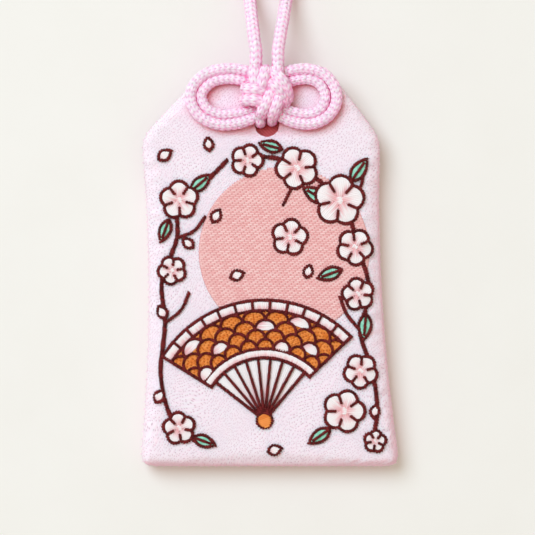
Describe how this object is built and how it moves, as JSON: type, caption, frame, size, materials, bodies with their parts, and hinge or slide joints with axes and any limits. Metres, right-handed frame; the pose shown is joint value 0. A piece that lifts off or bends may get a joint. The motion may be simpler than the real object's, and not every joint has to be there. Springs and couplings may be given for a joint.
{
  "type": "omamori charm",
  "caption": "Flat padded cloth charm bag with embroidered front, a wrapped talisman in its pocket, and a braided cord knotted through its neck into a hanging loop.",
  "frame": {"origin": "middle of the flat back of the bag, on the line of the neck hole, which is the face that the charm lies on", "axes": "+X to the right of the embroidered front, +Y towards the neck and the hanging loop, +Z out of the embroidered front"},
  "size_m": [0.0508, 0.1562, 0.0116],
  "materials": {
    "brocade": "pale pink woven brocade, soft sheen",
    "lining_cloth": "thin plain-woven lining",
    "wadding": "soft white wadding",
    "card": "uncoated grey-brown card",
    "wrapper_paper": "folded white paper",
    "cedar": "planed bare wood",
    "braid": "round braided cord, pale pink",
    "pink_thread": "embroidery thread, flat fill",
    "orange_thread": "embroidery thread, satin",
    "maroon_thread": "embroidery thread, rope stitch",
    "white_thread": "embroidery thread, satin",
    "mint_thread": "embroidery thread, satin"
  },
  "bodies": {
    "bag": {"front_panel": "brocade", "back_panel": "brocade", "front_lining": "lining_cloth", "back_lining": "lining_cloth", "padding": "wadding", "stiffener_card": "card", "cross_knot": "braid", "left_neck_wrap": "braid", "right_neck_wrap": "braid", "left_outer_loop": "braid", "left_inner_loop": "braid", "right_outer_loop": "braid", "right_inner_loop": "braid", "fan_leaf": "orange_thread", "fan_sticks": "maroon_thread", "sun_disc": "pink_thread", "blossom_1": "white_thread", "blossom_2": "white_thread", "blossom_3": "white_thread", "blossom_4": "white_thread", "blossom_5": "white_thread", "blossom_6": "white_thread", "blossom_7": "white_thread", "blossom_8": "white_thread", "blossom_9": "white_thread", "blossom_10": "white_thread", "blossom_11": "white_thread", "blossom_12": "white_thread", "leaf_1": "mint_thread", "leaf_2": "mint_thread", "leaf_3": "mint_thread", "leaf_4": "mint_thread", "leaf_5": "mint_thread", "leaf_6": "mint_thread", "leaf_7": "mint_thread", "leaf_8": "mint_thread", "leaf_9": "mint_thread", "petal_1": "white_thread", "petal_2": "white_thread", "petal_3": "white_thread", "petal_4": "white_thread", "petal_5": "white_thread", "petal_6": "white_thread", "petal_7": "white_thread", "petal_8": "white_thread", "petal_9": "white_thread", "petal_10": "white_thread"},
    "talisman": {"talisman_wrapper": "wrapper_paper", "talisman_slip": "cedar"},
    "strap": {"left_strand": "braid", "right_strand": "braid", "end_knot": "braid", "left_tail": "braid", "right_tail": "braid"}
  },
  "joints": [
    {"name": "strap_fold", "type": "hinge", "parent": "bag", "child": "strap", "pos_m": [0, 0.0431, 0.0089], "axis": [1, 0, 0], "range_deg": [-75, 110]},
    {"name": "talisman_slide", "type": "slide", "parent": "bag", "child": "talisman", "axis": [0, 1, 0], "range_m": [0, 0.007]}
  ]
}
